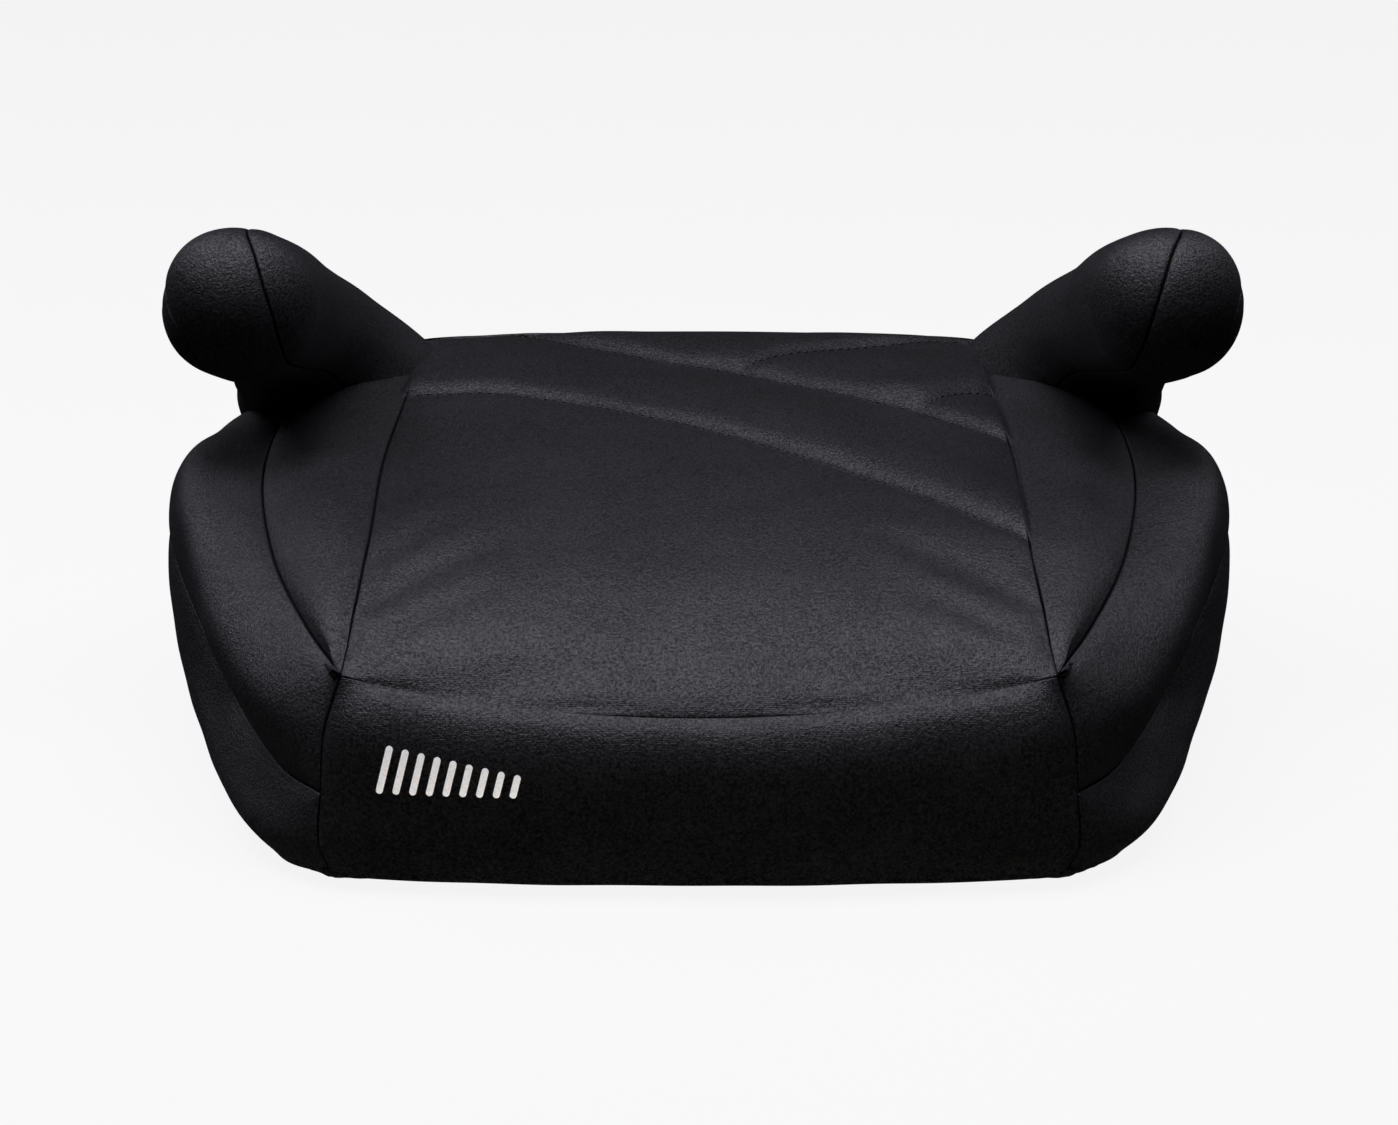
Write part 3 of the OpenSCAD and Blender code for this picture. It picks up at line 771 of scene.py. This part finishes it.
def make_stitches(seat_cover, material):
    """Thread along the quilting channels, one short capsule for each stitch."""
    tree = cover_tree(seat_cover)
    points, faces = [], []
    for channel in CHANNELS:
        line = smooth_line(channel, 300)
        run = np.concatenate([[0], np.cumsum(np.linalg.norm(np.diff(line, axis=0), axis=1))])
        for start in np.arange(3, run[-1] - 5, STITCH_STEP):
            ends = []
            for at in (start, start + STITCH):
                x, y = (np.interp(at, run, line[:, k]) for k in (0, 1))
                hit = tree.ray_cast(Vector((x, y, 300)) * MM, Vector((0, 0, -1)))
                ends.append(hit[0] / MM if hit[0] else None)
            if ends[0] is None or ends[1] is None:
                continue
            ahead = (ends[1] - ends[0]).normalized()
            aside = ahead.cross(Vector((0, 0, 1))).normalized()
            up = aside.cross(ahead)
            first = len(points)
            for share, r in ((0.0, 0.15), (0.2, 1.0), (0.8, 1.0), (1.0, 0.15)):
                middle = ends[0].lerp(ends[1], share) + up * (STITCH_R * (2 * r - 1.2))
                for a in np.linspace(0, 2 * math.pi, 6, endpoint=False):
                    points.append(middle + (aside * math.cos(a) + up * math.sin(a)) * STITCH_R * r)
            for ring in range(3):
                for j in range(6):
                    a, b = first + ring * 6 + j, first + ring * 6 + (j + 1) % 6
                    faces.append([a, b, b + 6, a + 6])
            faces.append([first + j for j in range(5, -1, -1)])
            faces.append([first + 18 + j for j in range(6)])
    return finish_piece(mesh_object("quilting_thread", points, faces), material)


# Rows of the hem: how far in under the base, and how high, in millimetres.
HEM_ROWS = [(0.6, 7.0), (0.8, 4.6), (2.2, 3.0), (5.0, 2.6), (9.0, 2.7), (13.0, 2.8), (16.5, 2.6),
            (18.5, 2.8), (19.8, 3.6)]
GATHER_PITCH = 7.5
HEM_STEP = 2.0
HEM_SEED = 5
HEM_THICK = 0.9


def make_hem(material):
    """The cover's lower border, turned in under the base and gathered by the elastic inside it."""
    s, f = np.linspace(0, 1, 160), np.linspace(-1, 1, 120)
    right = side(s, np.array([1.0]))[:, 0]
    loop = np.concatenate([front(f, np.array([1.0]))[:-1, 0], right[:-1],
                           back(f, np.array([1.0]))[::-1, 0][:-1], mirrored(right)[::-1][:-1]])
    steps = np.linalg.norm(np.diff(np.concatenate([loop, loop[:1]]), axis=0), axis=1)
    run = np.concatenate([[0], np.cumsum(steps)])
    count = int(run[-1] / HEM_STEP)
    at = np.arange(count) * run[-1] / count
    line = np.stack([np.interp(at, run, np.append(loop[:, k], loop[0, k])) for k in range(2)], -1)
    for _ in range(3):
        line = (np.roll(line, 1, 0) + 2 * line + np.roll(line, -1, 0)) / 4
    ahead = unit(np.roll(line, -1, 0) - np.roll(line, 1, 0))
    inward = np.stack([-ahead[:, 1], ahead[:, 0]], -1)
    draw = np.random.default_rng(HEM_SEED)
    phase = np.cumsum(draw.uniform(0.6, 1.4, count)) * 2 * math.pi * HEM_STEP / GATHER_PITCH
    rows = []
    for reach, z in HEM_ROWS:
        wave = np.sin(phase + 0.04 * reach) * 0.75 * min(1, reach / 12)
        flat = line + inward * (reach + 0.5 * np.cos(phase * 0.5) * min(1, reach / 18))[:, None]
        rows.append(np.concatenate([flat, (z + wave)[:, None]], -1))
    grid = np.stack(rows, 0)
    grid = np.concatenate([grid, grid[:, :1]], 1)
    uv = np.stack([run_length(grid, 0), run_length(grid, 1)], -1)
    ob = mesh_object("gathered_hem", grid.reshape(-1, 3), quads_of(grid.shape[:2]), uv.reshape(-1, 2))
    solidify(ob, HEM_THICK)
    return finish_piece(ob, material, ["cover_hem"])


# ---------------------------------------------------------------- materials

class Nodes:
    """Short names for building a node tree."""

    def __init__(self, name):
        self.material = bpy.data.materials.new(name)
        self.material.use_nodes = True
        self.tree = self.material.node_tree
        self.shader = self.tree.nodes["Principled BSDF"]

    def add(self, kind, **values):
        node = self.tree.nodes.new(kind)
        for key, value in values.items():
            if hasattr(node, key):
                setattr(node, key, value)
            else:
                node.inputs[key.replace("_", " ")].default_value = value
        return node

    def link(self, out, to):
        self.tree.links.new(out, to)

    def math(self, operation, a, b=None):
        node = self.tree.nodes.new("ShaderNodeMath")
        node.operation = operation
        for socket, value in zip(node.inputs, (a, b)):
            if value is None:
                continue
            if isinstance(value, (int, float)):
                socket.default_value = value
            else:
                self.link(value, socket)
        return node.outputs[0]

    def noise(self, vector, scale, detail=2.0):
        node = self.add("ShaderNodeTexNoise", Scale=scale, Detail=detail)
        self.link(vector, node.inputs["Vector"])
        return node.outputs["Fac"]

    def ramp(self, value, stops):
        node = self.tree.nodes.new("ShaderNodeValToRGB")
        ramp = node.color_ramp
        while len(ramp.elements) < len(stops):
            ramp.elements.new(0.5)
        for element, (at, colour) in zip(ramp.elements, stops):
            element.position = at
            element.color = (*colour, 1)
        self.link(value, node.inputs["Fac"])
        return node.outputs["Color"]

    def to_range(self, value, low, high):
        node = self.tree.nodes.new("ShaderNodeMapRange")
        node.inputs["To Min"].default_value = low
        node.inputs["To Max"].default_value = high
        self.link(value, node.inputs["Value"])
        return node.outputs["Result"]

    def bump(self, height, strength, distance):
        node = self.add("ShaderNodeBump", Strength=strength, Distance=distance)
        self.link(height, node.inputs["Height"])
        self.link(node.outputs["Normal"], self.shader.inputs["Normal"])
        return node

    def coordinates(self, kind):
        if kind == "weave":
            node = self.tree.nodes.new("ShaderNodeUVMap")
            node.uv_map = "weave"
            return node.outputs["UV"]
        return self.tree.nodes.new("ShaderNodeTexCoord").outputs[kind]


THREAD_PITCH = 0.0006


def woven(name, dark, light, pitch=THREAD_PITCH, rough=(0.46, 0.62), bump=0.5):
    """Fine plain weave: threads over and under each other, flecks of lighter fibre, uneven sheen."""
    n = Nodes(name)
    uv = n.coordinates("weave")
    place = n.coordinates("Object")
    parts = n.tree.nodes.new("ShaderNodeSeparateXYZ")
    n.link(uv, parts.inputs["Vector"])
    turn = math.pi / pitch
    across_threads = n.math("SINE", n.math("MULTIPLY", parts.outputs["X"], turn))
    along_threads = n.math("SINE", n.math("MULTIPLY", parts.outputs["Y"], turn))
    weave = n.math("ABSOLUTE", n.math("MULTIPLY", across_threads, along_threads))
    fleck = n.noise(place, 1900, 2)
    worm = n.noise(place, 900, 1)
    cloud = n.noise(place, 26, 3)
    blotch = n.noise(place, 480, 1)
    mixed = n.math("ADD", n.math("MULTIPLY", fleck, 0.36), n.math("MULTIPLY", worm, 0.5))
    mixed = n.math("ADD", mixed, n.math("MULTIPLY", blotch, 0.14))
    mixed = n.math("ADD", mixed, n.math("MULTIPLY", n.math("SUBTRACT", cloud, 0.5), 0.12))
    n.link(n.ramp(mixed, [(0.42, dark), (0.60, light)]), n.shader.inputs["Base Color"])
    shine = n.math("MULTIPLY", n.math("SUBTRACT", mixed, 0.36), 3.6)
    n.link(n.to_range(shine, 0.27, 0.75), n.shader.inputs["Specular IOR Level"])
    n.link(n.to_range(mixed, rough[1], rough[0]), n.shader.inputs["Roughness"])
    height = n.math("ADD", n.math("MULTIPLY", weave, 0.10), n.math("MULTIPLY", mixed, 1.3))
    n.bump(height, bump, 0.0012)
    n.shader.inputs["Sheen Weight"].default_value = 0.012
    n.shader.inputs["Sheen Roughness"].default_value = 0.45
    n.shader.inputs["Sheen Tint"].default_value = (0.75, 0.78, 0.9, 1)
    return n.material


def moulded(name, dark, light, grain, rough, bump=0.25):
    """Moulded plastic or rubber: fine spark-eroded grain and slightly uneven gloss."""
    n = Nodes(name)
    place = n.coordinates("Object")
    fine = n.noise(place, grain, 3)
    cloud = n.noise(place, 14, 3)
    n.link(n.ramp(cloud, [(0.35, dark), (0.7, light)]), n.shader.inputs["Base Color"])
    n.link(n.to_range(n.math("ADD", n.math("MULTIPLY", fine, 0.6), n.math("MULTIPLY", cloud, 0.4)),
                      rough[0], rough[1]), n.shader.inputs["Roughness"])
    n.bump(fine, bump, 0.0003)
    return n.material


def open_foam(name):
    """Dark open-cell foam: small pits between cell walls, the pits painted darker as shade inside the cells.
    """
    n = Nodes(name)
    cells = n.add("ShaderNodeTexVoronoi", Scale=900)
    n.link(n.coordinates("Object"), cells.inputs["Vector"])
    pits = cells.outputs["Distance"]
    # painted shade: the pits are coloured darker than the cell walls, as shade inside the cells
    n.link(n.ramp(pits, [(0.1, (0.0012, 0.0012, 0.0012)), (0.7, (0.005, 0.005, 0.005))]),
           n.shader.inputs["Base Color"])
    n.link(n.to_range(pits, 0.8, 0.95), n.shader.inputs["Roughness"])
    n.bump(pits, 0.6, 0.0006)
    return n.material


def zinc_plated(name):
    n = Nodes(name)
    place = n.coordinates("Object")
    spots = n.noise(place, 900, 4)
    n.link(n.ramp(spots, [(0.3, (0.42, 0.43, 0.45)), (0.7, (0.68, 0.69, 0.72))]),
           n.shader.inputs["Base Color"])
    n.link(n.to_range(spots, 0.28, 0.5), n.shader.inputs["Roughness"])
    n.shader.inputs["Metallic"].default_value = 1.0
    n.bump(spots, 0.2, 0.0002)
    return n.material


def webbing(name):
    """Braided elastic: ribs across the band, the grooves between them painted darker as shade, with rubber
    threads showing as a slight sheen.
    """
    n = Nodes(name)
    place = n.coordinates("Object")
    parts = n.tree.nodes.new("ShaderNodeSeparateXYZ")
    n.link(place, parts.inputs["Vector"])
    sum_xy = n.math("ADD", parts.outputs["X"], parts.outputs["Y"])
    rib = n.math("ABSOLUTE", n.math("SINE", n.math("MULTIPLY", sum_xy, math.pi / 0.0011)))
    fibre = n.noise(place, 1400, 3)
    height = n.math("ADD", n.math("MULTIPLY", rib, 0.7), n.math("MULTIPLY", fibre, 0.5))
    # colour follows the rib height: grooves painted darker as shade, plus random tone from the fibre noise
    n.link(n.ramp(height, [(0.2, (0.006, 0.006, 0.007)), (0.9, (0.02, 0.02, 0.022))]),
           n.shader.inputs["Base Color"])
    n.link(n.to_range(fibre, 0.55, 0.75), n.shader.inputs["Roughness"])
    n.bump(height, 0.5, 0.0005)
    return n.material


def thread(name):
    """Twisted polyester thread: fine uneven grain and a soft gloss."""
    n = Nodes(name)
    place = n.coordinates("Object")
    twist = n.noise(place, 3200, 2)
    n.link(n.ramp(twist, [(0.35, (0.004, 0.004, 0.005)), (0.65, (0.016, 0.016, 0.018))]),
           n.shader.inputs["Base Color"])
    n.link(n.to_range(twist, 0.35, 0.55), n.shader.inputs["Roughness"])
    n.bump(twist, 0.4, 0.0002)
    return n.material


def printed(name):
    n = Nodes(name)
    place = n.coordinates("Object")
    worn = n.noise(place, 1300, 3)
    n.link(n.ramp(worn, [(0.3, (0.72, 0.72, 0.73)), (0.55, (0.88, 0.88, 0.88))]),
           n.shader.inputs["Base Color"])
    n.link(n.to_range(worn, 0.5, 0.7), n.shader.inputs["Roughness"])
    n.bump(worn, 0.35, 0.0003)
    return n.material


def paper_floor(name):
    """A pale studio sweep that glows a little, so that it stays even to the edges of the view."""
    n = Nodes(name)
    n.shader.inputs["Base Color"].default_value = (0.06, 0.06, 0.06, 1)
    n.shader.inputs["Roughness"].default_value = 0.9
    n.shader.inputs["Specular IOR Level"].default_value = 0.0
    n.shader.inputs["Emission Color"].default_value = (1, 1, 1, 1)
    n.shader.inputs["Emission Strength"].default_value = 0.885
    return n.material


def bounce_paper(name):
    n = Nodes(name)
    n.shader.inputs["Base Color"].default_value = (0, 0, 0, 1)
    n.shader.inputs["Emission Color"].default_value = (1, 0.97, 0.92, 1)
    n.shader.inputs["Emission Strength"].default_value = 2.2
    return n.material


# ---------------------------------------------------------------- floor and light

CARD_X, CARD_FRONT, CARD_REAR, CARD_Z = 0.26, -0.42, 0.3, -0.001
FLOOR_SIZE = 14


def add_bounce_card():
    """The lit part of the floor round the seat, as the seat's lower parts see it."""
    plan = ((-CARD_X, CARD_FRONT), (CARD_X, CARD_FRONT), (CARD_X, CARD_REAR), (-CARD_X, CARD_REAR))
    corners = np.array([(x, y, CARD_Z) for x, y in plan])
    card = mesh_object("bounce_card", corners / MM, [[0, 1, 2, 3]])
    card.data.materials.append(bounce_paper("bounce_paper"))
    card.visible_camera = card.visible_glossy = False


def add_stage():
    corners = np.array([[-1, -1, 0], [1, -1, 0], [1, 1, 0], [-1, 1, 0]])
    floor = mesh_object("floor", corners * FLOOR_SIZE / MM, [[0, 1, 2, 3]])
    floor.data.materials.append(paper_floor("studio_floor"))
    floor.visible_diffuse = floor.visible_glossy = False
    add_bounce_card()
    world = bpy.data.worlds.new("studio")
    world.use_nodes = True
    world.node_tree.nodes["Background"].inputs["Color"].default_value = (1, 1, 1, 1)
    world.node_tree.nodes["Background"].inputs["Strength"].default_value = 0.01
    bpy.context.scene.world = world


def add_softbox(name, place, target, width, depth, watts, colour=(0.89, 0.885, 1.0)):
    lamp = bpy.data.lights.new(name, "AREA")
    lamp.color = colour
    lamp.shape = "RECTANGLE"
    lamp.size = width
    lamp.size_y = depth
    lamp.energy = watts
    ob = link(bpy.data.objects.new(name, lamp))
    ob.location = place
    back = (Vector(place) - Vector(target)).normalized()
    aside = Vector((0, 1, 0)).cross(back).normalized()
    ob.rotation_euler = Matrix((aside, back.cross(aside), back)).transposed().to_euler()


# ---------------------------------------------------------------- build

add_camera()
bpy.context.scene.view_settings.view_transform = "Standard"

fabric = woven("black_weave", (0.0005, 0.0005, 0.0007), (0.0058, 0.0058, 0.0072))
make_panels()
set_winding()
skins = shape_skin()
for skin in skins:
    points, faces, ids, sign, seam, _ = skin
    held = seam < HELD_SEAM
    if sign:
        held |= points[:, 2] < HELD_ARM_BELOW
    else:
        seat_ids = ids["cover_seat_panel"]
        held[seat_ids[PANELS["cover_seat_panel"]["channel"] < HELD_CHANNEL]] = True
        held |= points[:, 2] < HELD_BODY_BELOW
    skin[0] = swell(points, faces, held)
covers = make_covers(skins, fabric)
make_padding(skins, open_foam("dark_foam"))
make_hem(fabric)
make_bars(covers["cover_front_panel"], printed("white_ink"))
make_stitches(covers["cover_seat_panel"], thread("black_thread"))

plastic = moulded("black_polypropylene", (0.012, 0.012, 0.013), (0.02, 0.02, 0.021), 2400, (0.42, 0.6))
rubber = moulded("black_rubber", (0.016, 0.016, 0.016), (0.028, 0.028, 0.028), 1500, (0.7, 0.85), 0.4)
for node, material in (("seat_shell", plastic), ("arm_core_right", plastic), ("arm_core_left", plastic),
                       ("foot_pads", rubber), ("arm_screws", zinc_plated("zinc")),
                       ("elastic_loops", webbing("black_elastic"))):
    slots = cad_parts[node].data.materials
    slots.clear()
    slots.append(material)

add_stage()
add_softbox("overhead", (-0.15, -0.22, 1.4), (0, 0, 0.1), 1.8, 0.5, 26)
add_softbox("back_left", (-1.1, 0.8, 1.1), (0, 0, 0.1), 0.7, 0.7, 3.2)
add_softbox("back_right", (1.1, 0.8, 1.1), (0, 0, 0.1), 0.7, 0.7, 2.6)
